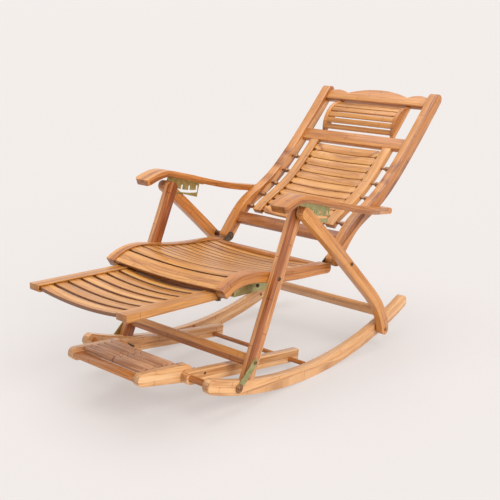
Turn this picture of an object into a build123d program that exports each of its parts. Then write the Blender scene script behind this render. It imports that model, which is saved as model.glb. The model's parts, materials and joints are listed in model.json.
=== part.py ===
"""Bamboo rocking recliner: notched armrests, pull-out leg rest and a roller foot massager.

Millimetres. X runs across the chair (+X is the sitter's left), the sitter faces -Y, Z is up.
The origin lies on the floor, under the middle of the rockers.
"""
import os
from math import acos, atan2, ceil, cos, degrees, hypot, radians, sin, sqrt

from build123d import *

os.makedirs("parts", exist_ok=True)

# Widths across the chair
SEAT_WIDTH = 485.0        # over the seat rails
RAIL_T = 34.0             # seat and back rails, across
BACK_OUTSET = 1.0         # back rails stand this far outside the seat rails, clear of the hinge plates
LEG_T = 24.0              # legs and rockers, across
LEG_CLEAR = 2.0           # seat rail to front leg
PLATE_T = 3.0             # steel plates
PLATE_CLEAR = 1.0         # notched plate to each leg
ARM_WIDTH = 64.0
ARM_CLEAR = 2.5           # back rail to armrest
ARM_TAIL = 32.0           # armrest's width at its rear end

# Rockers
ROCKER_R = 1250.0
ROCKER_H = 42.0
ROCKER_FRONT = 462.0      # reach in front of the lowest point
ROCKER_REAR = 478.0       # reach behind it

# Legs
TOP_PIN = (-103.0, 528.0)         # pin that joins the legs under the armrest
FRONT_FOOT_Y = -312.0
FRONT_LEG_W = 36.0
REAR_FOOT_Y = 322.0
REAR_LEG_W = 36.0
REAR_LEG_BENDS = [(36.0, 402.0), (120.0, 322.0), (206.0, 238.0), (276.0, 164.0), (310.0, 106.0)]
STRETCHER_UP = 52.0               # from a front foot, along the leg, to the stretcher and its bolts
STRETCHER_H = 34.0
STRETCHER_T = 18.0
CROSSBAR_UP = 70.0                # from a rear foot, along the leg, to the crossbar
STRAP_W = 22.0
STRAP_T = 2.5
STRAP_REACH = 45.0                # strap's lower bolt, in front of the foot
WASHER_R = 13.0                   # under the strap's lower bolt
WASHER_T = 2.0
PIN_COVER = 8.0                   # wood over a hidden end of a pin

# Seat
SEAT_BENDS = [(-381.0, 344.0), (-348.0, 359.0), (-309.0, 367.0), (-261.0, 365.0), (-212.0, 355.0),
              (-142.0, 341.0), (-61.0, 330.0), (9.0, 324.0), (90.0, 315.0)]
SEAT_RAIL_H = 30.0
SEAT_NOSE_W = 56.0                # first slat, rolled over the front
SEAT_SECOND_W = 44.0
SEAT_SLATS = 10                   # narrow slats behind those two
SEAT_REAR_RAIL_W = 30.0
SLAT_T = 10.0
SLAT_GAP = 2.5                    # between narrow seat slats
WIDE_GAP = 6.0                    # behind the two front seat slats
REST_GAP = 9.5                    # between leg rest slats
REST_EDGE = 5.0                   # front slat behind the leg rest rails' ends
PANEL_GAP = 1.5                   # between back panel slats
PANEL_HEAD_GAP = 9.0              # last panel slat to the mid rail
SLAT_SAG = 12.0
SLAT_TOP = 4.0                    # slat ends lie this far under a rail's top
TENON = 6.0
GROOVE_CLEAR = 0.9

# Backrest
BACK_HINGE = (121.0, 331.0)
BACK_BENDS = [(157.0, 371.0), (217.0, 425.0), (300.0, 464.0), (377.0, 506.0), (489.0, 596.0),
              (580.0, 681.0), (676.0, 777.0)]
BACK_RAIL_W = 36.0
LOWER_RAIL_S = 76.0               # stations along the back, from its hinge
PANEL_S = 112.0
MID_RAIL_S = 513.0
CREST_S = 676.0                   # crest rail's lower edge
LOWER_RAIL_W = 40.0
MID_RAIL_W = 45.0
BACK_BOARD_T = 20.0
CREST_H = 38.0
CREST_ARCH = 19.0                 # middle of the crest over its ends
CREST_BUMP = 7.0
CREST_DIP_X = 126.0
CREST_BUMP_X = 157.0
STRIP_W = 34.0                    # panel's side strips
STRIP_T = 18.0
STRIP_IN = 136.0
PANEL_SLATS = 11
PANEL_SAG = 6.0
SPACERS = 5
SPACER_FIRST = 18.0               # from the panel's lower end
SPACER_PITCH = 70.0
SPACER_R = 8.0
SPACER_L = 17.0
SPACER_SHIFT = 4.0                # towards the back rail
SPACER_PIN_R = 4.0
SHOULDER = 5.0                    # panel slats narrow by this on each side at their ends
SHOULDER_L = 10.0
HEAD_HALF = 150.0                 # headrest
HEAD_PLATE_T = 14.0
HEAD_BULGE = 36.0
HEAD_MARGIN = 8.0                 # bare arch at each end
HEAD_RIM = 3.0                    # plates stand this far over the slats
HEAD_SLATS = 6
HEAD_SLAT_W = 18.0
HEAD_SLAT_T = 8.0

# Armrests, as points from the armrest's pivot
ARM_PIVOT_S = 226.0               # pivot's station along the back
ARM_BENDS = [(-507.0, 92.0), (-470.0, 104.0), (-432.0, 111.0), (-392.0, 104.0), (-347.0, 91.5),
             (-247.0, 60.5), (-137.0, 29.0), (0.0, 0.0), (52.0, -9.5)]
ARM_T = 20.0
ARM_CORNER_R = 14.0
ARM_TAPER = 190.0                 # the outer edge turns in over this length
ARM_FOLLOW = 0.25                 # armrest's turn for each degree of recline
RECLINE_MAX = 40.0
NOTCH_STEP = 10.0                 # degrees of recline between notches
NOTCH_DEPTH = 16.0
PLATE_DEPTH = 47.0                # plate's depth under the armrest
PLATE_NOSE = 13.0                 # plate around the front end of its slot
PLATE_TAIL = 18.0                 # plate beyond the slot's rear end
PLATE_RAKE = 62.0                 # degrees, the plate's front edge over the pin
FLANGE_W = 18.0

# Leg rest
LEG_REST_CLEAR = 6.0              # leg rest to each seat rail, room for the guides
LEG_REST_RAIL_W = 40.0
LEG_REST_T = 20.0
LEG_REST_L = 425.0
LEG_REST_FRONT = (-690.0, 359.0)  # top of its front end
LEG_REST_DIP = 3.4                # degrees, falling towards the rear
LEG_REST_SLATS = 9
GUIDE_T = 3.0
CLIP_S = 325.0                    # front clips, along the leg rest from its front end
CLIP_W = 9.0
GUIDE_SPAN = (382.0, 545.0)       # guide plates, along the leg rest from its front end
GUIDE_SCREWS = (404.0, 523.0)
GUIDE_RIVET = (481.0, -7.0)       # along the leg rest, and off its top
UNDER_SLATS = 1.0                 # steel plates end this far under the seat rail's middle line
GUIDE_FOOT = 16.0
GUIDE_CLEAR = 0.5

# Under-frame and foot massager
BASE_RAIL_IN = 152.0
BASE_RAIL_T = 22.0
BASE_RAIL_H = 38.0
BASE_RAIL_L = 474.0
BASE_RAIL_FALL = 8.8              # degrees
FRONT_ROD_Y = -446.0
FRONT_ROD_R = 10.0
REAR_ROD_INSET = 44.0             # from the base rail's rear end
REAR_ROD_DROP = 7.0               # under the rail's middle line
REAR_ROD_R = 7.0
ROD_SEAT = 14.0                   # rods' depth in the rockers
SIDE_CLEAR = 2.0                  # massager side to base rail
SIDE_T = 22.0
SIDE_NOSE = (-152.0, 36.0)        # side board's round ends, from the pivot
SIDE_NOSE_R = 18.0
SIDE_HEEL = (0.0, 8.0)
SIDE_HEEL_R = 26.0
SIDE_TAIL = (44.0, -12.0)
SIDE_TAIL_R = 10.0
STOP_R = 4.0
STOP_CLEAR = 0.4
FRONT_BOARD_W = 34.0
FRONT_BOARD_T = 14.0
ROLLER_ROWS = 5
ROLLER_R = 10.0
ROLLER_PITCH = 24.5
ROLLER_FIRST = 24.0               # first row, in front of the pivot
ROLLER_PROUD = 4.0                # rollers above the side boards
ROLLER_GAP = 3.0                  # between two rollers, and to a side board
AXLE_R = 2.5
AXLE_SEAT = 8.0

# Hardware
BOLT_R = 4.0
HEAD_R = 5.5
HEAD_H = 3.0
HOLE_CLEAR = 0.2
PIVOT_CLEAR = 0.3
HINGE_PLATE_R = 14.0              # hinge plate around the hinge bolt
HINGE_PLATE_L = 92.0              # its foot along the seat rail
HINGE_SCREWS = (56.0, 80.0)       # from the seat rail's rear end
HINGE_GAP = 0.5
SCREW_SEAT = 22.0                 # screws' depth in the wood
FIT = 0.15                        # between pieces that are glued or screwed face to face
TUBE_R = 9.0
BAND_STEP = 45.0

# Layers, from the middle of the chair outwards
RAIL_OUT = SEAT_WIDTH / 2
RAIL_IN = RAIL_OUT - RAIL_T
BACK_OUT = RAIL_OUT + BACK_OUTSET
BACK_IN = BACK_OUT - RAIL_T
LEG_IN = RAIL_OUT + LEG_CLEAR
LEG_OUT = LEG_IN + LEG_T
PLATE_IN = LEG_OUT + PLATE_CLEAR
PLATE_OUT = PLATE_IN + PLATE_T
REAR_IN = PLATE_OUT + PLATE_CLEAR
REAR_OUT = REAR_IN + LEG_T
ARM_IN = BACK_OUT + ARM_CLEAR
ARM_OUT = ARM_IN + ARM_WIDTH


def turn(point, angle):
    """Turn a side-view vector about X."""
    a = radians(angle)
    return point[0] * cos(a) - point[1] * sin(a), point[0] * sin(a) + point[1] * cos(a)


def add(a, b):
    return a[0] + b[0], a[1] + b[1]


def slab(profile, x0, x1):
    """Side-view profile carried across the chair from x0 to x1."""
    return extrude(Plane.YZ.offset(x0) * profile, amount=x1 - x0)


def round_bar(x0, x1, at, r):
    return slab(Pos(*at) * Circle(r), x0, x1)


def station(curve, s):
    """Point and direction at the length s along a side-view curve."""
    p = curve.position_at(s, position_mode=PositionMode.LENGTH)
    t = curve.tangent_at(s, position_mode=PositionMode.LENGTH)
    return (p.X, p.Y), (t.X, t.Y)


def beside(curve, s, n):
    """Point at the distance n off the curve, on its upper or front side when n is positive."""
    (y, z), (ty, tz) = station(curve, s)
    return y - tz * n, z + ty * n


def band(curve, s0, s1, lo, hi, round0=False, round1=False):
    """Strip along a side-view curve between two distances off it."""
    steps = max(2, ceil((s1 - s0) / BAND_STEP))
    stops = [s0 + (s1 - s0) * i / steps for i in range(steps + 1)]
    edges = [Spline(*[beside(curve, s, hi) for s in stops]), Spline(*[beside(curve, s, lo) for s in stops])]
    for s, way, is_round in ((s0, -1, round0), (s1, 1, round1)):
        a, b = beside(curve, s, hi), beside(curve, s, lo)
        if is_round:
            _, (ty, tz) = station(curve, s)
            reach = way * (hi - lo) / 2
            tip = add(beside(curve, s, (lo + hi) / 2), (ty * reach, tz * reach))
            edges.append(ThreePointArc(a, tip, b))
        else:
            edges.append(Line(a, b))
    return make_face(edges)


def cross_piece(at, along, width, thick, x0, x1):
    """Board across the chair, its width lying along a side-view direction."""
    angle = degrees(atan2(along[1], along[0]))
    return slab(Pos(*at) * Rot(0, 0, angle) * Rectangle(width, thick), x0, x1)


def bow(half, sag):
    """Cross-section of a slat that hangs in an arc between its ends."""
    return make_face([ThreePointArc((-half, 0), (0, -sag), (half, 0)),
                      ThreePointArc((-half, -SLAT_T), (0, -sag - SLAT_T), (half, -SLAT_T)),
                      Line((-half, 0), (-half, -SLAT_T)), Line((half, 0), (half, -SLAT_T))])


def bowed_slat(curve, s0, s1, half, top, sag, shoulder=0.0, neck=0.0):
    """Flat slat from s0 to s1, its ends at the distance top off the curve and its middle hanging lower.
    A shoulder narrows the slat on both sides over the length neck at each end."""
    low, high = beside(curve, s0, top), beside(curve, s1, top)
    ty, tz = high[0] - low[0], high[1] - low[1]
    width = hypot(ty, tz)
    across = Plane(origin=(0, *low), x_dir=(1, 0, 0), z_dir=(0, -ty, -tz))
    slat = extrude(across * bow(half, sag), amount=-width)
    if shoulder:
        for way in (-1, 1):
            for side in (shoulder / 2, width - shoulder / 2):
                neck_at = Pos(way * (half - neck / 2), -sag, -side)
                slat -= across * neck_at * Box(neck, 4 * (sag + SLAT_T), shoulder)
    return slat


def rolled_slat(curve, s0, s1, half, top, sag):
    """Slat like a bowed one, but bent along the curve."""
    path = Plane.YZ * Spline(*[beside(curve, s0 + (s1 - s0) * i / 4, top) for i in range(5)])
    start, way = path @ 0, path % 0
    across = Plane(origin=start, x_dir=(1, 0, 0), z_dir=-way)
    return sweep(across * bow(half, sag), path=path)


def slat_groove(curve, s0, s1, top, x_face, depth):
    """Groove in a rail's inner face for the ends of bowed slats."""
    return slab(band(curve, s0, s1, top - SLAT_T - GROOVE_CLEAR, top + GROOVE_CLEAR), x_face, x_face + depth)


def bolt(x_in, x_out, at):
    """Bolt from an inner face to an outer one, with a domed head outside and a nut inside."""
    head = round_bar(x_out, x_out + HEAD_H, at, HEAD_R)
    head = fillet(head.edges().sort_by(Axis.X)[-1], HEAD_H / 2)
    nut = slab(Pos(*at) * RegularPolygon(HEAD_R * 0.9, 6), x_in - HEAD_H, x_in)
    return round_bar(x_in, x_out, at, BOLT_R) + head + nut


def screw(x_tip, x_out, at):
    """Screw that ends inside the wood."""
    head = round_bar(x_out, x_out + HEAD_H, at, HEAD_R)
    return round_bar(x_tip, x_out, at, BOLT_R) + fillet(head.edges().sort_by(Axis.X)[-1], HEAD_H / 2)


def hole(x_in, x_out, at, r=BOLT_R + HOLE_CLEAR):
    return round_bar(x_in, x_out, at, r)


def other_side(shape):
    return mirror(shape, about=Plane.YZ)


def keep(name, shape):
    export_step(shape, f"parts/{name}.step")


def keep_pair(name, shape):
    keep(f"{name}_left", shape)
    keep(f"{name}_right", other_side(shape))


def keep_group(name, shapes):
    """One node of separate solids, the given ones and their mirror images."""
    keep(name, Compound([s for shape in shapes for s in (*shape.solids(), *other_side(shape).solids())]))


def rocker_point(r, y):
    """Point of a circle about the rockers' centre, at its lower side."""
    return y, ROCKER_R - sqrt(r * r - y * y)


# Side-view curves
ROCKER_MID = ROCKER_R - ROCKER_H / 2
rear_foot = rocker_point(ROCKER_MID, REAR_FOOT_Y)
front_foot = rocker_point(ROCKER_R - ROCKER_H, FRONT_FOOT_Y)
seat_curve = Spline(*SEAT_BENDS)
back_curve = Spline(BACK_HINGE, *BACK_BENDS)
rear_curve = Spline(TOP_PIN, *REAR_LEG_BENDS, rear_foot)
front_line = Line(front_foot, TOP_PIN)
arm_pivot, _ = station(back_curve, ARM_PIVOT_S)
arm_curve = Spline(*[add(arm_pivot, p) for p in ARM_BENDS])
leg_rest_way = turn((1.0, 0.0), -LEG_REST_DIP)
leg_rest_rear = add(LEG_REST_FRONT, turn((LEG_REST_L, 0.0), -LEG_REST_DIP))
leg_rest_line = Line(LEG_REST_FRONT, leg_rest_rear)
front_rod = rocker_point(ROCKER_MID, FRONT_ROD_Y)
base_way = turn((1.0, 0.0), -BASE_RAIL_FALL)
base_line = Line(front_rod, add(front_rod, (base_way[0] * BASE_RAIL_L, base_way[1] * BASE_RAIL_L)))
rear_rod = beside(base_line, BASE_RAIL_L - REAR_ROD_INSET, -REAR_ROD_DROP)


def crossing(curve, line):
    """Point where a curve meets the line through a straight edge."""
    start, way = station(line, 0)
    low, high = 0.0, curve.length

    def side(s):
        at, _ = station(curve, s)
        return way[0] * (at[1] - start[1]) - way[1] * (at[0] - start[0])

    for _ in range(40):
        mid = (low + high) / 2
        low, high = (mid, high) if side(low) * side(mid) > 0 else (low, mid)
    return station(curve, low)[0]


seat_bolt = crossing(seat_curve, front_line)

# Rockers: an arc of constant height with round ends
def rocker_profile():
    def at(r, y):
        return rocker_point(r, y * r / ROCKER_R)

    low, high = ROCKER_R, ROCKER_R - ROCKER_H
    edges = [ThreePointArc(at(r, -ROCKER_FRONT), rocker_point(r, 0.0), at(r, ROCKER_REAR))
             for r in (low, high)]
    for y, way in ((-ROCKER_FRONT, -1), (ROCKER_REAR, 1)):
        reach = way * ROCKER_H / 2
        tip = add(at(ROCKER_MID, y), (reach * sqrt(1 - (y / ROCKER_R) ** 2), way * reach * y / ROCKER_R))
        edges.append(ThreePointArc(at(low, y), tip, at(high, y)))
    return make_face(edges)


strap_top, strap_way = station(front_line, STRETCHER_UP)
strap_low = rocker_point(ROCKER_MID, FRONT_FOOT_Y - STRAP_REACH)
rocker = slab(rocker_profile(), LEG_IN, LEG_OUT)
rocker -= round_bar(LEG_IN, LEG_IN + ROD_SEAT, front_rod, FRONT_ROD_R)
rocker -= round_bar(LEG_IN, LEG_IN + ROD_SEAT, rear_rod, REAR_ROD_R)
rocker -= hole(LEG_IN, LEG_OUT, strap_low)
rocker -= hole(LEG_IN, LEG_OUT, rear_foot)
keep_pair("rocker", rocker)

# Front legs stand on the rockers, rear legs lap over them
leg_reach = front_line.length
leg_profile = band(front_line, -ROCKER_H / 2, leg_reach, -FRONT_LEG_W / 2, FRONT_LEG_W / 2, round1=True)
leg_profile &= Pos(0, ROCKER_R) * Circle(ROCKER_R - ROCKER_H)
front_leg = slab(leg_profile, LEG_IN, LEG_OUT)
front_leg -= hole(LEG_IN + PIN_COVER, LEG_OUT, TOP_PIN)
for at in (seat_bolt, strap_top):
    front_leg -= hole(LEG_IN, LEG_OUT, at)
keep_pair("front_leg", front_leg)

rear_profile = band(rear_curve, 0, rear_curve.length, -REAR_LEG_W / 2, REAR_LEG_W / 2, True, True)
rear_leg = slab(rear_profile, REAR_IN, REAR_OUT) - hole(REAR_IN, REAR_OUT - PIN_COVER, TOP_PIN)
for at in (BACK_HINGE, rear_foot):
    rear_leg -= hole(REAR_IN, REAR_OUT, at)
keep_pair("rear_leg", rear_leg)

stretcher = cross_piece(strap_top, strap_way, STRETCHER_H, STRETCHER_T, -LEG_IN, LEG_IN)
for x in (-LEG_IN, LEG_IN - SCREW_SEAT):
    stretcher -= round_bar(x, x + SCREW_SEAT, strap_top, BOLT_R)
keep("leg_stretcher", stretcher)
at, way = station(rear_curve, rear_curve.length - CROSSBAR_UP)
keep("rear_crossbar", cross_piece(at, way, STRETCHER_H, STRETCHER_T, -REAR_IN, REAR_IN))

strap_ends = Sketch([Pos(*at) * Circle(STRAP_W / 2) for at in (strap_top, strap_low)])
strap = slab(make_hull(strap_ends.edges()), LEG_OUT, LEG_OUT + STRAP_T)
for at in (strap_top, strap_low):
    strap -= hole(LEG_OUT, LEG_OUT + STRAP_T, at)
keep_group("leg_straps", [strap])
foot_tube = round_bar(LEG_OUT, REAR_IN, rear_foot, TUBE_R) - hole(LEG_OUT, REAR_IN, rear_foot)
washer_in, washer_out = LEG_OUT + STRAP_T, LEG_OUT + STRAP_T + WASHER_T
keep_group("leg_bolts", [bolt(LEG_IN, REAR_OUT, rear_foot),
                         screw(LEG_IN - SCREW_SEAT, LEG_OUT + STRAP_T, strap_top),
                         bolt(LEG_IN, washer_out, strap_low)
                         + round_bar(washer_in, washer_out, strap_low, WASHER_R),
                         round_bar(LEG_IN + PIN_COVER, REAR_OUT - PIN_COVER, TOP_PIN, BOLT_R)])

# Under-frame: two rods between the rockers carry two rails
keep("front_rod", round_bar(-LEG_IN - ROD_SEAT, LEG_IN + ROD_SEAT, front_rod, FRONT_ROD_R))
keep("rear_rod", round_bar(-LEG_IN - ROD_SEAT, LEG_IN + ROD_SEAT, rear_rod, REAR_ROD_R))
base_out = BASE_RAIL_IN + BASE_RAIL_T
tail_way = (SIDE_TAIL[0] - SIDE_HEEL[0], SIDE_TAIL[1] - SIDE_HEEL[1])
tail_lean = degrees(atan2(tail_way[1], tail_way[0]) + acos((SIDE_HEEL_R - SIDE_TAIL_R) / hypot(*tail_way)))
stop_at = add(add(front_rod, SIDE_TAIL), turn((SIDE_TAIL_R + STOP_R + STOP_CLEAR, 0.0), tail_lean))
base_profile = band(base_line, 0, BASE_RAIL_L, -BASE_RAIL_H / 2, BASE_RAIL_H / 2, round0=True)
base_rail = slab(base_profile, BASE_RAIL_IN, base_out)
base_rail -= round_bar(BASE_RAIL_IN, base_out, front_rod, FRONT_ROD_R)
base_rail -= round_bar(BASE_RAIL_IN, base_out, rear_rod, REAR_ROD_R)
base_rail -= round_bar(BASE_RAIL_IN, base_out, stop_at, STOP_R)
keep_pair("base_rail", base_rail)
side_out = BASE_RAIL_IN - SIDE_CLEAR
side_in = side_out - SIDE_T
keep_group("massager_stops", [round_bar(side_in, base_out, stop_at, STOP_R)])

# Foot massager
side_ends = [(SIDE_NOSE, SIDE_NOSE_R), (SIDE_HEEL, SIDE_HEEL_R), (SIDE_TAIL, SIDE_TAIL_R)]
side_face = make_hull(Sketch([Pos(*add(front_rod, at)) * Circle(r) for at, r in side_ends]).edges())
side_rise = (SIDE_NOSE[1] + SIDE_NOSE_R - SIDE_HEEL[1] - SIDE_HEEL_R) / (SIDE_HEEL[0] - SIDE_NOSE[0])
axles_at = []
for row in range(ROLLER_ROWS):
    out = ROLLER_FIRST + row * ROLLER_PITCH
    up = SIDE_HEEL[1] + SIDE_HEEL_R + side_rise * out + ROLLER_PROUD - ROLLER_R
    axles_at.append(add(front_rod, (-out, up)))
side = slab(side_face, side_in, side_out) - round_bar(side_in, side_out, front_rod, FRONT_ROD_R + PIVOT_CLEAR)
for at in axles_at:
    side -= round_bar(side_in, side_in + AXLE_SEAT, at, AXLE_R)
keep_pair("massager_side", side)
board_at = add(front_rod, SIDE_NOSE)
keep("massager_front", cross_piece(board_at, turn((1.0, 0.0), -degrees(atan2(side_rise, 1.0))),
                                   FRONT_BOARD_W, FRONT_BOARD_T, -side_in, side_in))
axle_end = side_in + AXLE_SEAT
axles = [round_bar(-axle_end, axle_end, at, AXLE_R) for at in axles_at]
keep("roller_axles", Compound([s for axle in axles for s in axle.solids()]))
for row, at in enumerate(axles_at, start=1):
    x0, x1 = ROLLER_GAP / 2, side_in - ROLLER_GAP
    roller = round_bar(x0, x1, at, ROLLER_R)
    roller = chamfer(roller.edges(), ROLLER_GAP / 2) - round_bar(x0, x1, at, AXLE_R + PIVOT_CLEAR)
    keep_pair(f"roller_{row}", roller)

# Seat
seat_top = SEAT_RAIL_H / 2 - SLAT_TOP
seat_end = seat_curve.length
slats_end = seat_end - SEAT_RAIL_H / 2 - SEAT_REAR_RAIL_W
seat_profile = band(seat_curve, 0, seat_end - SEAT_RAIL_H / 2, -SEAT_RAIL_H / 2, SEAT_RAIL_H / 2, round1=True)
seat_rail = slab(seat_profile, RAIL_IN, RAIL_OUT)
seat_rail -= slat_groove(seat_curve, 0, slats_end, seat_top, RAIL_IN, TENON)
seat_rail -= round_bar(RAIL_OUT - SCREW_SEAT, RAIL_OUT, seat_bolt, BOLT_R)
screw_line = -(SEAT_RAIL_H / 2 + UNDER_SLATS) / 2
hinge_screws = [beside(seat_curve, seat_end - s, screw_line) for s in HINGE_SCREWS]
guide_screws = []
for s in GUIDE_SCREWS:
    on_rail = crossing(seat_curve, Line(beside(leg_rest_line, s, 0.0), beside(leg_rest_line, s, 1.0)))
    guide_screws.append(add(on_rail, (0.0, screw_line)))
for at in (*hinge_screws, *guide_screws):
    seat_rail -= round_bar(RAIL_IN, RAIL_IN + SCREW_SEAT, at, BOLT_R)
keep_pair("seat_rail", seat_rail)
at, way = station(seat_curve, slats_end + SEAT_REAR_RAIL_W / 2)
rear_rail_end = RAIL_IN - PLATE_T
keep("seat_rear_rail", cross_piece(at, way, SEAT_REAR_RAIL_W, SEAT_RAIL_H - 2 * SLAT_TOP,
                                   -rear_rail_end, rear_rail_end))
slat_half = RAIL_IN + TENON
front_room = SEAT_NOSE_W + SEAT_SECOND_W + SLAT_GAP + 2 * WIDE_GAP
narrow = (slats_end - front_room) / SEAT_SLATS - SLAT_GAP
s = SLAT_GAP
slats = []
for width, gap in [(SEAT_NOSE_W, WIDE_GAP), (SEAT_SECOND_W, WIDE_GAP)] + [(narrow, SLAT_GAP)] * SEAT_SLATS:
    slat = rolled_slat if gap == WIDE_GAP else bowed_slat
    slats.append(slat(seat_curve, s, s + width, slat_half, seat_top, SLAT_SAG))
    s += width + gap
keep("seat_slats", Compound([s for slat in slats for s in slat.solids()]))
keep_group("seat_bolts", [screw(RAIL_OUT - SCREW_SEAT, LEG_OUT, seat_bolt)])

# Hinge plates, inside the seat rails, carry the backrest's hinge
heel_s = seat_end - SEAT_RAIL_H / 2
plate_foot = band(seat_curve, seat_end - HINGE_PLATE_L, heel_s, -SEAT_RAIL_H / 2, -UNDER_SLATS)
plate_heel = Pos(*beside(seat_curve, heel_s, screw_line)) * Circle(abs(screw_line) - UNDER_SLATS)
plate_arm = make_hull(Sketch([plate_heel, Pos(*BACK_HINGE) * Circle(HINGE_PLATE_R)]).edges())
plate = slab(plate_foot, RAIL_IN - PLATE_T, RAIL_IN) + slab(plate_arm, RAIL_IN - PLATE_T, RAIL_IN)
for at in (*hinge_screws, BACK_HINGE):
    plate -= hole(RAIL_IN - PLATE_T, RAIL_IN, at)
keep_group("hinge_plates", [plate])
tube_in = BACK_OUT + HINGE_GAP
tube = round_bar(tube_in, REAR_IN, BACK_HINGE, TUBE_R) - hole(tube_in, REAR_IN, BACK_HINGE)
keep_group("spacer_tubes", [tube, foot_tube])
keep_group("hinge_bolts", [bolt(RAIL_IN - PLATE_T, REAR_OUT, BACK_HINGE)])

# Leg rest on its guides under the seat
rest_half = RAIL_IN - LEG_REST_CLEAR
rest_in = rest_half - LEG_REST_RAIL_W
rest_top = -SLAT_TOP
rest_rail = slab(band(leg_rest_line, 0, LEG_REST_L, -LEG_REST_T, 0), rest_in, rest_half)
rest_rail = fillet(rest_rail.edges().filter_by(Axis.X).group_by(Axis.Y)[0], LEG_REST_T / 4)
rest_rail -= slat_groove(leg_rest_line, REST_EDGE / 2, LEG_REST_L - REST_GAP / 2, rest_top, rest_in, TENON)
keep_pair("leg_rest_rail", rest_rail)
pitch = (LEG_REST_L - REST_GAP) / LEG_REST_SLATS
slats = []
for i in range(LEG_REST_SLATS):
    start = REST_GAP + pitch * i if i else REST_EDGE
    slats.append(bowed_slat(leg_rest_line, start, pitch * (i + 1), rest_in + TENON, rest_top, SLAT_SAG))
keep("leg_rest_slats", Compound([s for slat in slats for s in slat.solids()]))
shelf_top = -LEG_REST_T - GUIDE_CLEAR
clip_span = (CLIP_S - CLIP_W / 2, CLIP_S + CLIP_W / 2)
under_seat = band(seat_curve, 0, seat_end, -2 * SEAT_NOSE_W, -UNDER_SLATS)
guides = []
for span in (clip_span, GUIDE_SPAN):
    wall = band(leg_rest_line, *span, shelf_top - GUIDE_T, SEAT_NOSE_W) & under_seat
    shelf = band(leg_rest_line, *span, shelf_top - GUIDE_T, shelf_top)
    guides.append(slab(wall, RAIL_IN - GUIDE_T, RAIL_IN)
                  + slab(shelf, RAIL_IN - GUIDE_T - GUIDE_FOOT, RAIL_IN - GUIDE_T))
clip, guide = guides
rivet_at = beside(leg_rest_line, *GUIDE_RIVET)
for at in (*guide_screws, rivet_at):
    guide -= hole(RAIL_IN - GUIDE_T, RAIL_IN, at)
keep_group("leg_rest_clips", [clip])
keep_group("leg_rest_guides", [guide])
flush_screws = [round_bar(RAIL_IN - PLATE_T, RAIL_IN + SCREW_SEAT, at, BOLT_R) for at in hinge_screws]
flush_screws += [round_bar(RAIL_IN - GUIDE_T, RAIL_IN + SCREW_SEAT, at, BOLT_R) for at in guide_screws]
keep_group("plate_screws", [*flush_screws, screw(RAIL_IN - GUIDE_T, RAIL_IN, rivet_at)])

# Backrest frame
back_end = back_curve.length
half_w = BACK_RAIL_W / 2
back_rail = slab(band(back_curve, 0, back_end, -half_w, half_w, True, True), BACK_IN, BACK_OUT)
back_rail -= hole(BACK_IN, BACK_OUT, BACK_HINGE, BOLT_R + PIVOT_CLEAR)
back_rail -= hole(BACK_IN + PIN_COVER, BACK_OUT, arm_pivot)
keep_pair("back_rail", back_rail)
for name, s, width in (("lower_rail", LOWER_RAIL_S, LOWER_RAIL_W), ("mid_rail", MID_RAIL_S, MID_RAIL_W)):
    at, way = station(back_curve, s)
    keep(name, cross_piece(at, way, width, BACK_BOARD_T, -BACK_IN, BACK_IN))
at, (ty, tz) = station(back_curve, CREST_S)
dip = CREST_H - CREST_BUMP / 2
edges = [Line((-BACK_IN, 0), (BACK_IN, 0)),
         ThreePointArc((-CREST_DIP_X, dip), (0, CREST_H + CREST_ARCH), (CREST_DIP_X, dip))]
for way in (-1, 1):
    edges.append(Line((way * BACK_IN, 0), (way * BACK_IN, CREST_H)))
    edges.append(ThreePointArc((way * BACK_IN, CREST_H), (way * CREST_BUMP_X, CREST_H + CREST_BUMP),
                               (way * CREST_DIP_X, dip)))
crest_plane = Plane(origin=(0, *at), x_dir=(1, 0, 0), z_dir=(0, -tz, ty))
keep("crest_rail", extrude(crest_plane * make_face(edges), amount=BACK_BOARD_T / 2, both=True))

# Slat panel, held off the back rails by spacers
panel_end = MID_RAIL_S - MID_RAIL_W / 2 - FIT
panel_top = STRIP_T / 2 - SLAT_TOP
strip_out = STRIP_IN + STRIP_W
strip = slab(band(back_curve, PANEL_S, panel_end, -STRIP_T / 2, STRIP_T / 2), STRIP_IN, strip_out)
edge = PANEL_GAP / 4
last_slat = panel_end - PANEL_HEAD_GAP
strip -= slat_groove(back_curve, PANEL_S + edge, last_slat + edge, panel_top, STRIP_IN, TENON)
keep_pair("panel_strip", strip)
pitch = (last_slat - PANEL_S - SLAT_GAP) / PANEL_SLATS
slats = []
for i in range(PANEL_SLATS):
    s = PANEL_S + SLAT_GAP + pitch * i
    slats.append(bowed_slat(back_curve, s, s + pitch - PANEL_GAP, STRIP_IN + TENON, panel_top, PANEL_SAG,
                            SHOULDER, TENON + SHOULDER_L))
keep("panel_slats", Compound([s for slat in slats for s in slat.solids()]))
spacers = []
for i in range(SPACERS):
    at, _ = station(back_curve, PANEL_S + SPACER_FIRST + i * SPACER_PITCH)
    middle = (strip_out + BACK_IN) / 2 + SPACER_SHIFT
    barrel = round_bar(middle - SPACER_L / 2, middle + SPACER_L / 2, at, SPACER_R)
    barrel = fillet(barrel.edges(), SPACER_R / 2)
    spacers.append(barrel + round_bar(strip_out, BACK_IN, at, SPACER_PIN_R))
keep_group("panel_spacers", spacers)

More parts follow.
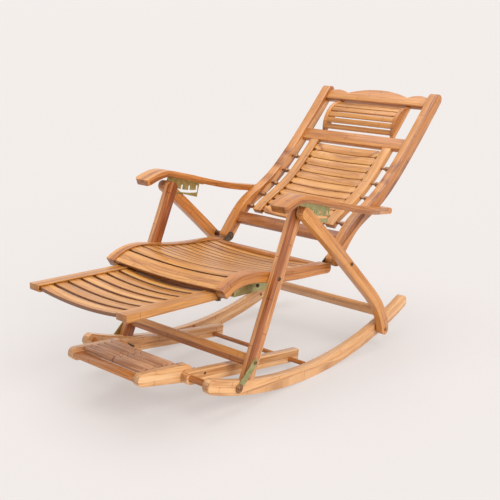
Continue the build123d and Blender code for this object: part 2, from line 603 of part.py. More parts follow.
# Headrest: a half roll of slats on two arched plates
head_low, head_high = MID_RAIL_S + MID_RAIL_W / 2, CREST_S
head_mid = (head_low + head_high) / 2
arch = ThreePointArc(beside(back_curve, head_low, 0), beside(back_curve, head_mid, HEAD_BULGE),
                     beside(back_curve, head_high, 0))
back_line = [beside(back_curve, s, -half_w / 2) for s in (head_low, head_high)]
plate_face = make_face([arch, Line(arch @ 0, back_line[0]), Line(*back_line), Line(back_line[1], arch @ 1)])
keep_pair("headrest_plate", slab(plate_face, HEAD_HALF - HEAD_PLATE_T, HEAD_HALF))
pitch = (arch.length - 2 * HEAD_MARGIN) / HEAD_SLATS
head_in = HEAD_HALF - HEAD_PLATE_T
slats = []
for i in range(HEAD_SLATS):
    s = HEAD_MARGIN + pitch * (i + 0.5)
    at = beside(arch, s, -HEAD_RIM - HEAD_SLAT_T / 2)
    _, way = station(arch, s)
    slats.append(cross_piece(at, way, HEAD_SLAT_W, HEAD_SLAT_T, -head_in, head_in))
keep("headrest_slats", Compound([s for slat in slats for s in slat.solids()]))

# Armrests, pivoted on the back rails and resting on the top pins
arm_end = arm_curve.length
tail_x = ARM_IN + ARM_TAIL
arm_bolt_x = tail_x - HEAD_H
arm_side = slab(band(arm_curve, 0, arm_end, -ARM_T / 2, ARM_T / 2, round1=True), ARM_IN, ARM_OUT)
front_y, tail_y = (add(arm_pivot, ARM_BENDS[i])[0] - ARM_T for i in (0, -1))
tail_y += 2 * ARM_T
taper_y = tail_y - ARM_TAPER
plan = make_face([Line((ARM_IN, front_y), (ARM_IN, tail_y)), Line((ARM_IN, tail_y), (tail_x, tail_y)),
                  Spline((tail_x, tail_y), (ARM_OUT, taper_y), tangents=[(0.0, -1.0), (0.0, -1.0)]),
                  Line((ARM_OUT, taper_y), (ARM_OUT, front_y)), Line((ARM_OUT, front_y), (ARM_IN, front_y))])
arm = arm_side & extrude(plan, amount=2 * TOP_PIN[1])
nose = arm.faces().sort_by(Axis.Y)[0]
arm = fillet(nose.edges().filter_by(lambda e: abs(e.tangent_at(0.5).X) < 0.5), ARM_CORNER_R)
arm -= hole(ARM_IN, arm_bolt_x, arm_pivot, BOLT_R + PIVOT_CLEAR)
keep_pair("armrest", arm)
arm_pin = round_bar(BACK_IN + PIN_COVER, arm_bolt_x - PIVOT_CLEAR, arm_pivot, BOLT_R)
keep_group("armrest_pins", [arm_pin])


def pin_seen_from_armrest(recline):
    """Place of the top pin in the armrest's own frame when the back has turned."""
    reach = (arm_pivot[0] - BACK_HINGE[0], arm_pivot[1] - BACK_HINGE[1])
    pivot = add(BACK_HINGE, turn(reach, recline))
    return add(arm_pivot, turn((TOP_PIN[0] - pivot[0], TOP_PIN[1] - pivot[1]), -ARM_FOLLOW * recline))


notches = int(RECLINE_MAX / NOTCH_STEP)
slot_curve = Spline(*[pin_seen_from_armrest(NOTCH_STEP * i) for i in range(notches + 1)])
slot_w = BOLT_R + PLATE_CLEAR / 2
slot = band(slot_curve, 0, slot_curve.length, -slot_w, slot_w, True, True)
for i in range(1, notches + 1):
    at = pin_seen_from_armrest(NOTCH_STEP * i)
    s = slot_curve.param_at_point(at) * slot_curve.length
    top = beside(slot_curve, min(s, slot_curve.length), NOTCH_DEPTH)
    slot += make_hull(Sketch([Pos(*p) * Circle(slot_w) for p in (at, top)]).edges())


first, last = pin_seen_from_armrest(0.0), pin_seen_from_armrest(RECLINE_MAX)
stations = []
for at in (first, last):
    low, high = 0.0, arm_end
    for _ in range(40):
        mid = (low + high) / 2
        low, high = (mid, high) if station(arm_curve, mid)[0][0] < at[0] else (low, mid)
    stations.append(low)
plate_top = -ARM_T / 2
_, (ty, tz) = station(rear_curve, 0)
far = 3 * slot_curve.length
corners = [first, add(first, (ty * far, tz * far)), add(first, turn((far, 0.0), PLATE_RAKE))]
wedge = make_hull(Sketch([Pos(*at) * Circle(PLATE_NOSE) for at in corners]).edges())
plate_span = (stations[0] - 2 * PLATE_NOSE, stations[1] + PLATE_TAIL)
plate_face = (band(arm_curve, *plate_span, plate_top - PLATE_DEPTH, plate_top) & wedge) - slot
flange = band(arm_curve, *plate_span, plate_top - PLATE_T, plate_top) & wedge
notch_plate = slab(plate_face, PLATE_IN, PLATE_OUT) + slab(flange, PLATE_IN - FLANGE_W, PLATE_IN)
keep_pair("notch_plate", notch_plate - arm)
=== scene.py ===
# %% [markdown]
# # A bamboo rocking recliner
# The real chair is cut from laminated bamboo boards, bolted together and lacquered. Its solids come
# packed from CAD, in metres: X across, -Y the way the sitter faces, Z up from the floor. They are
# true in size, but every edge is knife-sharp and every surface is bare. The chair could be modelled
# again by hand. Instead each solid is copied and the copy is finished: bamboo gets sanded edges and
# grain, steel gets its plating, and the bolts get new heads. The copies then stand for the solids,
# so that no size is guessed twice.

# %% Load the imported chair
import json
import math
import random

import bpy
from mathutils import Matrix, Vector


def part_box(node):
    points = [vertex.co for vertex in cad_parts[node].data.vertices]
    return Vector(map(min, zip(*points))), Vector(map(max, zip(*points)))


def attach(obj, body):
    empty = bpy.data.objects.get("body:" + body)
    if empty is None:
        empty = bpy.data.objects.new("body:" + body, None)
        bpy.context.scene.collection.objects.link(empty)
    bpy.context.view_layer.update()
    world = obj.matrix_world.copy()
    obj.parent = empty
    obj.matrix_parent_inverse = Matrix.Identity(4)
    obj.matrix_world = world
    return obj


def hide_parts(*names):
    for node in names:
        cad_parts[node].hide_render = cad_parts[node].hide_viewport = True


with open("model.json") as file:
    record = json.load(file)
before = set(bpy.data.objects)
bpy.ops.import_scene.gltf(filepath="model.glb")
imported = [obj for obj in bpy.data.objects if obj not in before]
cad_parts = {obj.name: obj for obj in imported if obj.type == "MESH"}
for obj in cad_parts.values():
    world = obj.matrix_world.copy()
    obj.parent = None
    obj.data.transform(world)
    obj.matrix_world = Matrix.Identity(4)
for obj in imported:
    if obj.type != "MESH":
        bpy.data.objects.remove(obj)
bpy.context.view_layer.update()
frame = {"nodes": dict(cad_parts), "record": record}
body_of_node = {n: b for b, nodes in frame["record"]["behaviour"]["bodies"].items() for n in nodes}
slot_of_node = {s["node"]: s["material_slot"] for s in frame["record"]["subparts"]}
scene = bpy.context.scene
scene.view_settings.view_transform = "Standard"

# %% [markdown]
# ## Camera
# The chair is seen from its front and left, from a little above. A camera can be aimed by eye, or
# by a constraint that keeps it pointed at something. This one is typed in: its place, turn and lens
# were fitted to known sizes on the chair, so the render can be laid over the photograph. The fit
# gave a focal length of 905 pixels for a picture 500 pixels wide, which is a 65 mm lens on a 36 mm
# sensor.

# %% Camera
CAMERA_PLACE = (1.828, -2.048, 1.116)
LOOK_DOWN = 15.68      # degrees under level
LOOK_ROUND = 41.9      # degrees round to the sitter's left
SENSOR = 36            # mm
FOCAL_PIXELS = 905
PICTURE_PIXELS = 500

bpy.ops.object.select_all(action="DESELECT")
bpy.ops.object.camera_add(location=CAMERA_PLACE,
                          rotation=(math.radians(90 - LOOK_DOWN), 0, math.radians(LOOK_ROUND)))
camera = bpy.context.object
camera.data.sensor_width = SENSOR
camera.data.lens = SENSOR * FOCAL_PIXELS / PICTURE_PIXELS
scene.camera = camera
print("lens in mm:", round(camera.data.lens, 1))

# %% [markdown]
# ## Colours and nodes
# A colour picker shows sRGB, but shaders reckon in linear light. Linear numbers could be typed in,
# but they are hard to read, so colours are written as hex and one function turns them to linear. A
# material is a graph of nodes. One more function adds a node, sets it and links it, so a pattern
# reads from top to bottom.


# %% Colour and node helpers
def linear(hex_colour):
    """sRGB hex to linear RGBA."""
    parts = [int(hex_colour[i:i + 2], 16) / 255 for i in (1, 3, 5)]
    return [p / 12.92 if p <= 0.04045 else ((p + 0.055) / 1.055) ** 2.4 for p in parts] + [1.0]


def feed(tree, target, inputs):
    """Link the inputs that are given a socket, and set those that are given a value."""
    for key, value in inputs.items():
        if isinstance(value, bpy.types.NodeSocket):
            tree.links.new(value, target.inputs[key])
        else:
            target.inputs[key].default_value = value


def node(tree, kind, inputs=None, **settings):
    """Add a node, set its properties and feed its inputs."""
    made = tree.nodes.new(kind)
    for name, value in settings.items():
        setattr(made, name, value)
    feed(tree, made, inputs or {})
    return made


def new_material(name):
    material = bpy.data.materials.new(name)
    material.use_nodes = True
    tree = material.node_tree
    return material, tree, tree.nodes["Principled BSDF"]


print("mid grey in linear light:", round(linear("#808080")[0], 3))

# %% [markdown]
# ## Carbonised bamboo
# The boards are glued up from split bamboo that was steamed until its sugars browned, then planed
# and lacquered. The eye sees long fibres, strips that differ in tone, dark glue lines, and a
# knuckle across a strip where the stem had a joint. A picture of bamboo could be wrapped round the
# boards, but it would repeat, and blur close up. This pattern is worked out from real sizes
# instead. It reads an attribute, grain, that says how far a point lies along, across and deep in
# its own board, so the fibres follow the bend of a rocker.

# %% Strips, each with a tone by chance
STRIP = 0.017          # one bamboo strip, 17 mm


def strips(tree, across, deep):
    """Place across the board, counted in strips, and a number by chance for each strip."""
    place = node(tree, "ShaderNodeMath", {0: across, 1: STRIP}, operation="DIVIDE").outputs[0]
    layer = node(tree, "ShaderNodeMath", {0: deep, 1: STRIP}, operation="DIVIDE").outputs[0]
    column = node(tree, "ShaderNodeMath", {0: place}, operation="FLOOR").outputs[0]
    row = node(tree, "ShaderNodeMath", {0: layer}, operation="FLOOR").outputs[0]
    seed = node(tree, "ShaderNodeCombineXYZ", {"X": column, "Y": row}).outputs[0]
    chance = node(tree, "ShaderNodeTexWhiteNoise", {"Vector": seed}, noise_dimensions="3D")
    return place, chance.outputs["Value"]


low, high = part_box("front_leg_left")
print("strips in a front leg's thickness:", round((high[0] - low[0]) / STRIP, 1))

# %% Fibres and clouds
FIBRE = 0.0011         # a bundle of fibres is about 1 mm wide
COARSER = 3            # bundles are drawn three times as wide, so that they show in the render
FIBRE_LENGTH = 0.09    # how far one streak runs
CLOUD_WIDTH = 0.02     # slow changes of tone within a board
CLOUD_LENGTH = 0.22


def drawn_out(tree, grain, length, width, **detail):
    """Noise that is stretched along the board."""
    scale = (1 / length, 1 / width, 1 / width)
    place = node(tree, "ShaderNodeMapping", {"Vector": grain, "Scale": scale}).outputs[0]
    return node(tree, "ShaderNodeTexNoise", {"Vector": place, "Scale": 1.0, **detail}).outputs["Fac"]


print("fibres drawn", round(FIBRE * COARSER * 1000, 1), "mm wide")

# %% Knuckles and glue lines
KNUCKLE = 0.26         # from one knuckle to the next, 260 mm or so
KNUCKLE_REACH = 0.00208    # half of a knuckle's width, 2 mm
KNUCKLE_TONE = 0.3     # how far a knuckle darkens
GLUE_REACH = 0.0010    # half of a glue line's width, drawn wide so that it shows
GLUE_TONE = 0.34       # how far a glue line darkens
HALF = 0.5             # middle of a cell


def knuckles(tree, along, chance):
    """A thin dark line across each strip, shifted by chance from strip to strip."""
    cells = node(tree, "ShaderNodeMath", {0: along, 1: KNUCKLE}, operation="DIVIDE").outputs[0]
    shifted = node(tree, "ShaderNodeMath", {0: cells, 1: chance}, operation="ADD").outputs[0]
    in_cell = node(tree, "ShaderNodeMath", {0: shifted}, operation="FRACT").outputs[0]
    off_middle = node(tree, "ShaderNodeMath", {0: in_cell, 1: HALF}, operation="SUBTRACT").outputs[0]
    distance = node(tree, "ShaderNodeMath", {0: off_middle}, operation="ABSOLUTE").outputs[0]
    return node(tree, "ShaderNodeMapRange", {"Value": distance, "From Max": KNUCKLE_REACH / KNUCKLE,
                                             "To Min": KNUCKLE_TONE, "To Max": 0.0}).outputs[0]


def glue_lines(tree, place):
    """A thin dark line between neighbouring strips."""
    in_strip = node(tree, "ShaderNodeMath", {0: place}, operation="FRACT").outputs[0]
    to_edge = node(tree, "ShaderNodeMath", {0: in_strip, 1: HALF}, operation="PINGPONG").outputs[0]
    return node(tree, "ShaderNodeMapRange", {"Value": to_edge, "From Max": GLUE_REACH / STRIP,
                                             "To Min": GLUE_TONE, "To Max": 0.0}).outputs[0]


print("a glue line takes", round(2 * GLUE_REACH / STRIP * 100), "percent of a strip")

# %% [markdown]
# ## From tones to a lacquered board
# Strips, fibres and clouds are added up, and the lines taken off. A colour ramp turns the sum into
# dark, middle and light bamboo. Sawn faces at board ends show cut fibres that drink the lacquer and
# go dark. The long edges of the slats take the same dark tone as painted shade, which stands for the
# shade in the slots between them. Painting these by hand would be slow, so a second attribute marks
# them. The lacquer is the shader's own coat over a slightly rough board, because a coat keeps its
# gloss in any light, and fibres show through it as a faint relief.

# %% Bamboo
CLOUD_TONE = 0.4       # weight of the clouds beside the fibres
DARKEST = 0.32         # sum of tones that shows the dark colour, were all strips alike
LIGHTEST = 1.06        # the same for the light colour
SHINIER = 0.06         # how far the roughness falls between fibres
DULLER = 0.10          # how far it rises on them
RELIEF = 0.0004        # metres
RELIEF_STRENGTH = 0.12
LACQUER = {"Coat Weight": 0.4, "Coat Roughness": 0.24}


def bamboo(name, dark, middle, light, end_grain_and_slot_shade_tone, roughness, mixed=0.42):
    """Bamboo in three tones. Mixed is how far the strips differ."""
    material, tree, shader = new_material(name)
    grain = node(tree, "ShaderNodeAttribute", attribute_name="grain").outputs["Vector"]
    parts = node(tree, "ShaderNodeSeparateXYZ", {"Vector": grain}).outputs
    place, chance = strips(tree, parts["Y"], parts["Z"])
    fibres = drawn_out(tree, grain, FIBRE_LENGTH, FIBRE * COARSER, Detail=4.0, Roughness=0.6)
    clouds = drawn_out(tree, grain, CLOUD_LENGTH, CLOUD_WIDTH, Detail=2.0)
    lines = node(tree, "ShaderNodeMath",
                 {0: knuckles(tree, parts["X"], chance), 1: glue_lines(tree, place)},
                 operation="ADD").outputs[0]

    soft = node(tree, "ShaderNodeMath", {0: clouds, 1: CLOUD_TONE, 2: fibres},
                operation="MULTIPLY_ADD").outputs[0]
    varied = node(tree, "ShaderNodeMath", {0: chance, 1: mixed, 2: soft},
                  operation="MULTIPLY_ADD").outputs[0]
    level = node(tree, "ShaderNodeMath", {0: varied, 1: lines}, operation="SUBTRACT").outputs[0]
    spread = node(tree, "ShaderNodeMapRange", {"Value": level, "From Min": DARKEST + mixed / 2,
                                               "From Max": LIGHTEST + mixed / 2}).outputs[0]
    ramp = node(tree, "ShaderNodeValToRGB", {"Fac": spread})
    ramp.color_ramp.elements[0].color = linear(dark)
    ramp.color_ramp.elements[1].color = linear(light)
    ramp.color_ramp.elements.new(HALF).color = linear(middle)

    # A colour Mix has its factor at input 0, its colours at 6 and 7, and its result at output 2
    # Board ends are dark end grain; the long edges of slats get the same tone as painted shade
    end_grain_and_slot_shade = node(tree, "ShaderNodeAttribute", attribute_name="end_grain_and_slot_shade").outputs["Fac"]
    tinted = node(tree, "ShaderNodeMix", {0: end_grain_and_slot_shade, 6: ramp.outputs["Color"], 7: linear(end_grain_and_slot_shade_tone)},
                  data_type="RGBA")
    gloss = node(tree, "ShaderNodeMapRange", {"Value": fibres, "To Min": roughness - SHINIER,
                                              "To Max": roughness + DULLER})
    relief = node(tree, "ShaderNodeBump", {"Height": fibres, "Strength": RELIEF_STRENGTH,
                                           "Distance": RELIEF})
    feed(tree, shader, {"Base Color": tinted.outputs[2], "Roughness": gloss.outputs[0],
                        "Normal": relief.outputs[0], **LACQUER})
    return material


# %% Five mixes of bamboo
# Each mix: dark, middle and light tone, the tone of sawn ends and of painted shade on slat edges, and
# the roughness under the lacquer.
# The index of refraction stays at the shader's 1.5, which suits wood and lacquer.
materials = {
    # Rails, rear legs and armrests: warm brown, fairly even
    "bamboo_frame": bamboo("carbonised bamboo, frame",
                           "#844510", "#C27B38", "#DE9F5A", "#5E2F14", 0.38, mixed=0.46),
    # Front legs: redder, with strips that differ most
    "legs": bamboo("carbonised bamboo, front legs",
                   "#6A2E0A", "#B0642A", "#E0A870", "#5E2F14", 0.36, mixed=0.66),
    # Slats: lighter, and a little glossier
    "bamboo_slat": bamboo("carbonised bamboo, slats",
                          "#9A5C22", "#CC8A42", "#E2A85E", "#6A3A1A", 0.36),
    # Rockers, base rails and massager sides: straw-coloured
    "bamboo_pale": bamboo("carbonised bamboo, pale",
                          "#AE723E", "#E2AA72", "#F2CA9A", "#7E4C28", 0.40),
    # Rollers: pinkish, and the least glossy
    "rollers": bamboo("carbonised bamboo, rollers",
                      "#966240", "#DAA880", "#ECC29C", "#5A3018", 0.42),
}
print("bamboos:", ", ".join(materials))

# %% [markdown]
# ## Plated steel
# The notch plates, guides and straps are mild steel with yellow zinc, which shows as greenish straw
# with faint clouds. Most fasteners are bronzed, dark brown and rubbed brighter in places, and the
# leg bolts and spacers are coppered. One flat colour would look like plastic. So a soft noise
# blends two tones, and the same noise changes the roughness, as uneven plating does.

# %% Plated steel
PLATING_CLOUD = 0.014  # size of the clouds in the plating, 14 mm
THIN, THICK = 0.35, 0.70   # where the noise shows the first tone, and where the second
DULLING = 0.08         # how far the roughness swings
METAL = 0.85           # under 1, because a thin film dulls the plating


def plated(name, base, cloud, roughness):
    material, tree, shader = new_material(name)
    place = node(tree, "ShaderNodeTexCoord").outputs["Object"]
    clouds = node(tree, "ShaderNodeTexNoise",
                  {"Vector": place, "Scale": 1 / PLATING_CLOUD, "Detail": 3.0}).outputs["Fac"]
    ramp = node(tree, "ShaderNodeValToRGB", {"Fac": clouds})
    for stop, position, tone in zip(ramp.color_ramp.elements, (THIN, THICK), (base, cloud)):
        stop.position = position
        stop.color = linear(tone)
    dull = node(tree, "ShaderNodeMapRange", {"Value": clouds, "To Min": roughness - DULLING,
                                             "To Max": roughness + DULLING})
    feed(tree, shader, {"Base Color": ramp.outputs["Color"], "Roughness": dull.outputs[0],
                        "Metallic": METAL})
    return material


materials["zinc_steel"] = plated("yellow zinc-plated steel", "#9C9C6A", "#BFB480", 0.30)
materials["dark_steel"] = plated("bronzed steel", "#4E3E32", "#76604E", 0.38)
materials["coppered"] = plated("coppered steel", "#8A6448", "#B48A66", 0.32)
print("finishes:", len(materials))

# %% [markdown]
# ## Which way each board's grain runs
# Grain runs along a board, and a bent board's grain bends with it. A UV map could carry that, but
# unwrapping sixty solids neatly takes long, and one vector for each point does the same. Slats and
# rails across the chair have their grain along X. Boards in the side frames follow a line, seen
# from the side and given here by a few points in metres, and the rockers follow their own circle.

# %% Grain lines
BACK = [(0.121, 0.331), (0.157, 0.371), (0.217, 0.425), (0.300, 0.464), (0.377, 0.506),
        (0.489, 0.596), (0.580, 0.681), (0.676, 0.777)]
SEAT = [(-0.381, 0.344), (-0.348, 0.359), (-0.309, 0.367), (-0.261, 0.365), (-0.212, 0.355),
        (-0.142, 0.341), (-0.061, 0.330), (0.009, 0.324), (0.090, 0.315)]
REAR_LEG = [(-0.103, 0.528), (0.036, 0.402), (0.120, 0.322), (0.206, 0.238), (0.276, 0.164),
            (0.310, 0.106), (0.322, 0.064)]
ARM = [(-0.208, 0.556), (-0.171, 0.568), (-0.133, 0.575), (-0.093, 0.568), (-0.048, 0.555),
       (0.052, 0.524), (0.162, 0.493), (0.299, 0.464), (0.351, 0.454)]
FRONT_LEG = [(-0.312, 0.083), (-0.103, 0.528)]
BASE = [(-0.446, 0.105), (0.022, 0.032)]
LEG_REST = [(-0.690, 0.359), (-0.266, 0.334)]
MASSAGER = [(-0.616, 0.141), (-0.400, 0.095)]
HEADREST = [(0.500, 0.640), (0.610, 0.740)]
GRAIN_LINES = {"back_rail": BACK, "panel_strip": BACK, "seat_rail": SEAT, "rear_leg": REAR_LEG,
               "armrest": ARM, "front_leg": FRONT_LEG, "base_rail": BASE, "leg_rest_rail": LEG_REST,
               "massager_side": MASSAGER, "headrest_plate": HEADREST}
ROCKER_RADIUS = 1.25
print("grain lines:", len(GRAIN_LINES))


# %% Place beside a line
def beside_line(points, y, z):
    """Length along a side-view line, distance off it, and its direction, for the nearest stretch."""
    best, start = None, 0.0
    for (y0, z0), (y1, z1) in zip(points, points[1:]):
        length = math.hypot(y1 - y0, z1 - z0)
        ty, tz = (y1 - y0) / length, (z1 - z0) / length
        s = (y - y0) * ty + (z - z0) * tz
        clipped = min(max(s, 0.0), length)
        gap = math.hypot(y - y0 - clipped * ty, z - z0 - clipped * tz)
        if best is None or gap < best[0]:
            best = (gap, start + s, (z - z0) * ty - (y - y0) * tz, (ty, tz))
        start += length
    return best[1:]


print("armrest along its line, in metres:", round(beside_line(ARM, *ARM[-1])[0], 3))

# %% [markdown]
# ## Grain for every board
# Slats are cut from many stems, so no two should show the same piece of bamboo. They share a mesh,
# which first has to be told apart: points that edges join belong to one board. Each board then gets
# its own shift by chance, from a seed that is the piece's name, so that every run gives the same
# chair.


# %% Tell boards apart
def boards_in(mesh):
    """Number of the separate board that each point belongs to."""
    parent = list(range(len(mesh.vertices)))

    def top(i):
        while parent[i] != i:
            parent[i] = parent[parent[i]]
            i = parent[i]
        return i

    for edge in mesh.edges:
        a, b = top(edge.vertices[0]), top(edge.vertices[1])
        parent[a] = b
    roots = {}
    return [roots.setdefault(top(i), len(roots)) for i in range(len(parent))]


# %% Store the grain
SLANT = 0.7            # boards across the chair are sliced slantwise, so top and front both show strips
SHIFT = 3              # metres, the most that a board's pattern is shifted


def give_grain(piece, base_name):
    """Store where each point lies along, across and deep in its board. Returns the number of boards."""
    mesh = piece.data
    shifts = {}
    chance = random.Random(base_name)
    attribute = mesh.attributes.new("grain", "FLOAT_VECTOR", "POINT")
    for vertex, board in zip(mesh.vertices, boards_in(mesh)):
        x, y, z = vertex.co
        if base_name == "rocker":
            along = math.atan2(y, ROCKER_RADIUS - z) * ROCKER_RADIUS
            across, deep = math.hypot(y, ROCKER_RADIUS - z) - ROCKER_RADIUS, x
        elif base_name in GRAIN_LINES:
            along, across, _ = beside_line(GRAIN_LINES[base_name], y, z)
            deep = x
        else:
            along, across, deep = x, (y - z) * SLANT, (y + z) * SLANT
        if board not in shifts:
            shifts[board] = [chance.uniform(0, SHIFT) for _ in range(3)]
        shift = shifts[board]
        attribute.data[vertex.index].vector = (along + shift[0], across + shift[1], deep + shift[2])
    return len(shifts)


print("patterns are shifted by up to", SHIFT, "m")

# %% [markdown]
# ## Sawn ends and painted shade in the slots
# Where the saw went across the fibres, at board ends, the wood is dark. The long edges of the slats
# are darkened too, as painted shade that stands for the shade falling into the slots, so that the
# slots read as dark lines. A second material on those faces would do, but each board would then
# need it twice. An attribute on the faces says how far each one darkens, found from its direction.

# %% Mark sawn ends and painted slot shade
SQUARE = 0.85          # cosine past which a face counts as square to a direction
EASED = 0.35           # the same for slat edges with their eased corners
END_TONE = 0.45        # how far board ends darken
# Rows of slats: the line that they lie along, and how far painted shade darkens their long edges
SLAT_ROWS = {"seat_slats": (SEAT, 0.85), "leg_rest_slats": (LEG_REST, 0.85), "panel_slats": (BACK, 0.3)}


def turned_to(face, line):
    """Cosine between a face's normal and the direction of a side-view line beside it."""
    _, _, (ty, tz) = beside_line(line, face.center.y, face.center.z)
    return abs(face.normal.y * ty + face.normal.z * tz)


def mark_end_grain_and_slot_shade(piece, base_name):
    """Mark board ends as dark end grain, and paint shade on the long edges of slats. Returns how many
    faces are darkened.
    """
    mesh = piece.data
    attribute = mesh.attributes.new("end_grain_and_slot_shade", "FLOAT", "FACE")
    count = 0
    for face in mesh.polygons:
        if base_name == "rocker":
            angle = math.atan2(face.center.y, ROCKER_RADIUS - face.center.z)
            end = abs(face.normal.y * math.cos(angle) + face.normal.z * math.sin(angle))
        elif base_name in GRAIN_LINES:
            end = turned_to(face, GRAIN_LINES[base_name])
        else:
            end = abs(face.normal.x)
        tone = END_TONE if end > SQUARE else 0.0
        if base_name in SLAT_ROWS:
            line, painted_slot_shade = SLAT_ROWS[base_name]
            # The long edges of slats get painted shade, for the shade in the slots between them
            if turned_to(face, line) > EASED:
                tone = painted_slot_shade
        attribute.data[face.index].value = tone
        count += tone > 0
    return count


print("rows with dark slat edges:", ", ".join(SLAT_ROWS))

# %% [markdown]
# ## Eased edges
# Bamboo boards are sanded, so their edges are round by two or three millimetres and catch the
# light. They could be modelled one by one. A Bevel modifier does them all, if it finds the true
# edges: a solid comes as loose triangles with fixed normals, so a copy has its normals freed, its
# points merged and its flat faces joined. Boards with grooves have thin lips, so they keep their
# triangles and get a narrow bevel. Sheet steel and bolts are left crisp.


# %% Copy a solid
def select_only(piece):
    bpy.ops.object.select_all(action="DESELECT")
    piece.select_set(True)
    bpy.context.view_layer.objects.active = piece


def copy_of(original, name):
    """A copy with its own mesh, tied to nothing."""
    select_only(original)
    bpy.ops.object.duplicate()
    piece = bpy.context.object
    for key in list(piece.keys()):
        del piece[key]
    piece.name = name
    piece.parent = None
    return piece


# %% Clean a copy
MERGE = 0.00002        # points closer than this are one
FLAT = math.radians(0.4)   # triangles that turn less than this are one face


def edit(piece):
    """Go to edit mode on one piece alone."""
    select_only(piece)
    bpy.ops.object.mode_set(mode="EDIT")
    bpy.ops.mesh.select_mode(type="VERT")


def clean(piece, whole_faces):
    """Free a copy's normals, merge its points and, for whole faces, join its flat triangles."""
    bpy.ops.mesh.customdata_custom_splitnormals_clear()
    edit(piece)
    bpy.ops.mesh.select_all(action="SELECT")
    bpy.ops.mesh.remove_doubles(threshold=MERGE)
    if whole_faces:
        bpy.ops.mesh.dissolve_limited(angle_limit=FLAT)
    bpy.ops.object.mode_set(mode="OBJECT")


print("points closer than", round(MERGE * 1000, 3), "mm are merged")

# %% Ease its edges
EDGE = math.radians(40)    # edges sharper than this are eased
EASE_STEPS = 2         # faces across an eased edge


def ease(piece, width):
    """Round a board's edges over a width in metres."""
    bevel = piece.modifiers.new("eased edges", "BEVEL")
    bevel.width = width
    bevel.segments = EASE_STEPS
    bevel.limit_method = "ANGLE"
    bevel.angle_limit = EDGE
    bpy.ops.object.modifier_apply(modifier=bevel.name)


print("edges over", round(math.degrees(EDGE)), "degrees are eased")

# %% [markdown]
# ## Dressing the solids
# Now each solid is copied, cleaned, eased and given its grain and finish. The copy rides on the
# solid's own body, so it moves as the solid does, and stands for it. Most pieces look like the rest
# of their slot in the record. A few don't: the front legs are redder, the rear crossbar is paler,
# and the leg bolts and the back panel's spacers have a tone of copper. The massager's front board
# takes the darker frame bamboo as painted shade, for the shade that the rollers cast on it. They
# could have slots of their own, but they are still bamboo and plated steel, so only their look is
# swapped here.

# %% Looks and widths
# Pieces that look unlike the rest of their slot; the massager's front board is darker as painted shade
LOOKS = {"front_leg": "legs", "rear_crossbar": "bamboo_pale", "massager_front": "bamboo_frame",
         "leg_bolts": "coppered", "panel_spacers": "coppered",
         **{f"roller_{row}": "rollers" for row in range(1, 6)}}
# Width of the eased edges in metres, by slot, and on boards with grooves
EASE = {"bamboo_frame": 0.0032, "bamboo_slat": 0.0020, "bamboo_pale": 0.0026, "zinc_steel": 0.0,
        "dark_steel": 0.0}
GROOVED = ("seat_rail", "panel_strip", "leg_rest_rail")
THIN_LIP = 0.0012
SMOOTH = math.radians(35)  # edges sharper than this stay crisp in the shading
print("kinds of piece with a look of their own:", len(LOOKS))


# %% Dress every solid
def dress(name, width):
    """Finish a copy of a solid, and let it stand for the solid."""
    base_name = name.removesuffix("_left").removesuffix("_right")
    slot = slot_of_node[name]
    piece = copy_of(frame["nodes"][name], f"{name}_dressed")
    clean(piece, whole_faces=width > THIN_LIP)
    if width:
        ease(piece, width)
    bpy.ops.object.shade_smooth_by_angle(angle=SMOOTH)
    if slot.startswith("bamboo"):
        # Grain, dark end grain, and painted shade on the long edges of slats
        boards, end_grain_and_slot_shade = give_grain(piece, base_name), mark_end_grain_and_slot_shade(piece, base_name)
        print(piece.name, "boards", boards, "faces", len(piece.data.polygons), "end_grain_and_slot_shade", end_grain_and_slot_shade)
    piece.data.materials.clear()
    piece.data.materials.append(materials[LOOKS.get(base_name, slot)])
    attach(piece, body_of_node[name])
    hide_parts(name)


for name in list(frame["nodes"]):
    dress(name, THIN_LIP if name.startswith(GROOVED) else EASE[slot_of_node[name]])
print("dressed", len(frame["nodes"]))

# %% [markdown]
# ## Button heads
# The bolts have low round heads. Such bolts usually have a hexagon socket for a key, so these get
# one too. A dome could be a squashed sphere with a hole cut by a Boolean, but that leaves a ragged
# rim. So a ring is drawn out into a wall and a dome, a hexagon is bridged to the dome's last ring,
# and the hexagon is sunk. The first head faces up, at the origin.

# %% One head
HEAD_RADIUS = 0.0056
HEAD_SIDES = 36
SOCKET_RADIUS = 0.0026
SOCKET_SIDES = 6
SOCKET_DEPTH = 0.0017
# Rings of the dome: height over the last ring, and how far it draws in
DOME = [(0.0013, 1.0), (0.0009, 0.93), (0.0005, 0.84), (0.0002, 0.80)]
HAIR = 0.00001         # a hair's breadth, for telling places apart


def pick(piece, test):
    """Select the points of a piece, in edit mode, that pass a test."""
    bpy.ops.mesh.select_all(action="DESELECT")
    bpy.ops.object.mode_set(mode="OBJECT")
    for vertex in piece.data.vertices:
        vertex.select = test(vertex.co)
    bpy.ops.object.mode_set(mode="EDIT")


def draw_out(height, scale=1.0):
    """Extrude the selected ring up or down, and draw it in towards the axis."""
    bpy.ops.mesh.extrude_region_move(TRANSFORM_OT_translate={"value": (0, 0, height)})
    bpy.ops.transform.resize(value=(scale, scale, 1), center_override=(0, 0, 0))


bpy.ops.object.select_all(action="DESELECT")
bpy.ops.mesh.primitive_circle_add(vertices=HEAD_SIDES, radius=HEAD_RADIUS, fill_type="NOTHING",
                                  location=(0, 0, 0))
head = bpy.context.object
head.name = "button_head"
edit(head)
bpy.ops.mesh.select_all(action="SELECT")
for height, scale in DOME:
    draw_out(height, scale)
crown = sum(height for height, _ in DOME)
print("head stands", round(crown * 1000, 1), "mm high")

